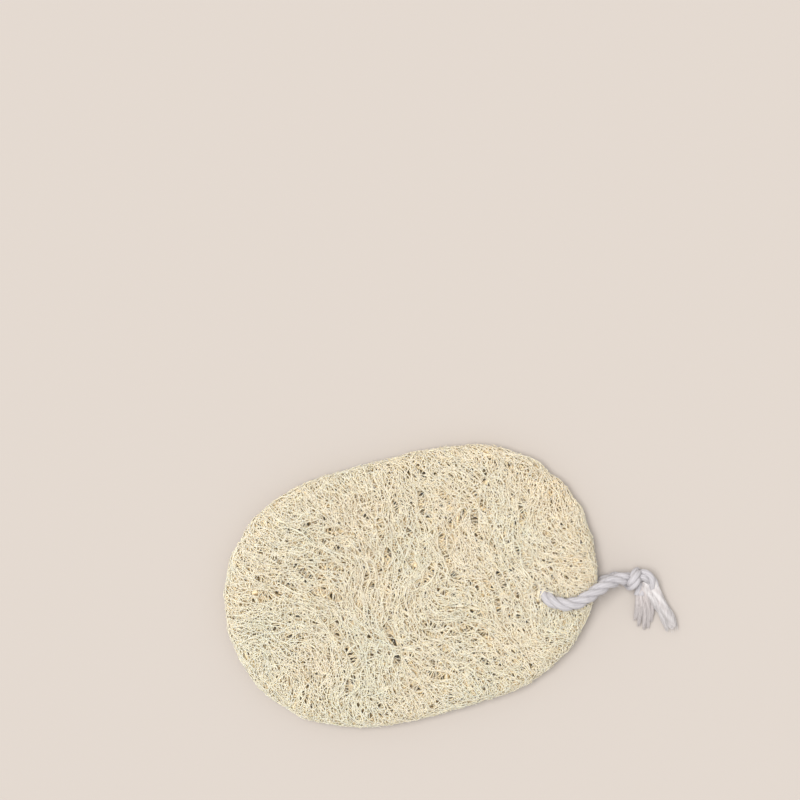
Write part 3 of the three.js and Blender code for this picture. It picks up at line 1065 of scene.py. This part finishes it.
WEAVE_HEIGHT = 0.00025
WEAVE_LENGTH = 0.009
WEAVE_SHIFT = 0.3
END_RISE = 0.0010

# Lumps of a whole face: weight, wavelength, seed
LUMP_HEIGHT = 0.00035
LUMPS = ((1.0, 0.014, 81), (0.5, 0.005, 82))

STOUTNESS_SPREAD = 0.2
STOUTNESS_LIMITS = (0.6, 1.5)
SWELLING = 0.15
SWELLING_LENGTH = 0.006

# Deeper layers are browner as painted shade, single fibres and patches are browner at random, and the
# fibres are warmer one way across the pad than the other
LAYER_SHADE = 0.8
FIBRE_AGE = 0.25
PATCH_AGE = 0.10
PATCH_LENGTH = 0.004
COOL_MIDDLE = 0.1
COOLING = 4.0
WARM_WAY = (0.6, 0.8)
COOL_PATCH = 0.2
COOL_PATCH_LENGTH = 0.030
COOL_PATCH_SEED = 83


def lay_batch(layer, seed, kind, flat, fibre, rise, share, weave):
    """Lays one kind of fibre in its layer: places, thickness, browning (painted shade for deep layers,
    with random tone), and how cool its colour is.
    """
    draw = np.random.default_rng(seed + LAY_SEED + kind)
    shifted = flat + WEAVE_SHIFT * fibre[:, None] * weave
    high = soft_noise(shifted, WEAVE_LENGTH, seed + WEAVE_SEED)
    lumps = LUMP_HEIGHT * sum(weight * soft_noise(flat, length, own) for weight, length, own in LUMPS)
    depth = layer.depth + WEAVE_HEIGHT * high + lumps - END_RISE * rise
    laid = clear_of_cord(pad_points(flat, layer.side, depth))
    fibres = fibre.max() + 1
    stoutness = np.clip(draw.normal(1, STOUTNESS_SPREAD, fibres), *STOUTNESS_LIMITS)[fibre]
    swelling = 1 + SWELLING * soft_noise(flat, SWELLING_LENGTH, seed + SWELLING_SEED)
    thickness = layer.half_thickness * share * stoutness * swelling
    laid[:, 2] = np.maximum(laid[:, 2], thickness)
    own_age = FIBRE_AGE * draw.random(fibres)[fibre] ** 2
    patch_age = PATCH_AGE * soft_noise(flat, PATCH_LENGTH, seed + PATCH_SEED)
    # The layer's part browns deep fibres as painted shade; the fibre and patch parts are random tone
    shade_and_tone = np.clip(LAYER_SHADE * layer.brownness + (own_age + patch_age), 0, 1)
    cool = COOL_MIDDLE - COOLING * (laid[:, :2] @ np.array(WARM_WAY))
    cool += COOL_PATCH * soft_noise(flat, COOL_PATCH_LENGTH, COOL_PATCH_SEED)
    return laid, thickness, shade_and_tone, cool


# Dry plant fibre: cream on the surface, in soft patches, and painted straw to tan further in as
# shade, with some random tan. Some light passes through it
FIBRE_PALE = (0.945, 0.828, 0.615, 1)
FIBRE_COOL = (0.855, 0.828, 0.645, 1)
FIBRE_SHADE_AND_TAN = (0.93, 0.75, 0.49, 1)
FIBRE_ROUGHNESS = 0.75
FIBRE_SPECULAR = 0.25
FIBRE_GLOW = 0.42
FIBRE_GLOW_DEPTH = 0.0008
FIBRE_GLOW_TINT = (1.0, 0.85, 0.6)
FIBRE_GRAIN = 260
FIBRE_GRAIN_DETAIL = 2
FIBRE_MOTTLE = 0.8


def loofah_material():
    """Matte fibre whose colour goes by how cool the mesh says that it is, browned by the painted shade
    of deep layers and by random tone.
    """
    material, surface = new_material("loofah_fibre", FIBRE_PALE, FIBRE_ROUGHNESS)
    surface.inputs["Specular IOR Level"].default_value = FIBRE_SPECULAR
    surface.inputs["Subsurface Weight"].default_value = FIBRE_GLOW
    surface.inputs["Subsurface Radius"].default_value = FIBRE_GLOW_TINT
    surface.inputs["Subsurface Scale"].default_value = FIBRE_GLOW_DEPTH
    nodes = material.node_tree.nodes
    place = nodes.new("ShaderNodeTexCoord")
    patches = nodes.new("ShaderNodeTexNoise")
    patches.inputs["Scale"].default_value = FIBRE_GRAIN
    patches.inputs["Detail"].default_value = FIBRE_GRAIN_DETAIL
    grain, cool, coolness = new_mottle(nodes, FIBRE_MOTTLE)
    cool_factor, pale, cooler, skin = new_mix(nodes)
    # The painted shade of deep layers, with random tone, browns the colour
    shade_and_tone_factor, unbrowned, deep, colour = new_mix(nodes)
    pale.default_value = FIBRE_PALE
    cooler.default_value = FIBRE_COOL
    deep.default_value = FIBRE_SHADE_AND_TAN
    join_sockets(material.node_tree, (
        (place.outputs["Object"], patches.inputs["Vector"]),
        (patches.outputs["Fac"], grain),
        (new_attribute(nodes, "cool"), cool),
        (coolness, cool_factor),
        (skin, unbrowned),
        (new_attribute(nodes, "shade_and_tone"), shade_and_tone_factor),
        (colour, surface.inputs["Base Color"]),
    ))
    return material


loofah = loofah_material()

FIRST_SEED = 1000
LAYER_SEEDS = 100

for place, layer in enumerate(LAYERS):
    seed = FIRST_SEED + LAYER_SEEDS * place
    laid, joined = [], []
    first = 0
    for kind, (flat, edges, *rest) in enumerate(layer_batches(layer, seed)):
        laid.append(lay_batch(layer, seed, kind, flat, *rest))
        joined.append(edges + first)
        first += len(flat)
    points, thickness, shade_and_tone, cool = (np.concatenate(parts) for parts in zip(*laid))
    name = f"loofah_{layer.name}"
    shades = {"shade_and_tone": shade_and_tone, "cool": cool}
    mesh = swept_fibres(name, points, np.concatenate(joined), thickness, shades, loofah)
    piece = new_piece(name, mesh, loofah)
    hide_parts("loofah_pad")


# The floor is a plain pale sheet. The light is that of a wide window overhead, a little to
# the upper left, with a fill from all round.
FLOOR_SIZE = 3.0
FLOOR_COLOUR = (0.490, 0.443, 0.404, 1)
FLOOR_ROUGHNESS = 0.9
FILL_COLOUR = (1, 0.98, 0.96, 1)
FILL_STRENGTH = 0.67
SUN_STRENGTH = 2.90
SUN_SOFTNESS = math.radians(36)
SUN_TILT = math.radians(15)
SUN_TURN = math.radians(145)

mesh = bpy.data.meshes.new("floor")
half = FLOOR_SIZE / 2
corners = [(-half, -half, 0), (half, -half, 0), (half, half, 0), (-half, half, 0)]
mesh.from_pydata(corners, [], [(0, 1, 2, 3)])
floor = bpy.data.objects.new("floor", mesh)
bpy.context.scene.collection.objects.link(floor)
paper, _ = new_material("floor_paper", FLOOR_COLOUR, FLOOR_ROUGHNESS)
mesh.materials.append(paper)

world = bpy.data.worlds.new("studio")
world.use_nodes = True
fill = world.node_tree.nodes["Background"]
fill.inputs["Color"].default_value = FILL_COLOUR
fill.inputs["Strength"].default_value = FILL_STRENGTH
bpy.context.scene.world = world

light = bpy.data.lights.new("window", "SUN")
light.energy = SUN_STRENGTH
light.angle = SUN_SOFTNESS
lamp = bpy.data.objects.new("window", light)
lamp.rotation_euler = (0, SUN_TILT, SUN_TURN)
bpy.context.scene.collection.objects.link(lamp)

bpy.context.scene.view_settings.view_transform = "Standard"
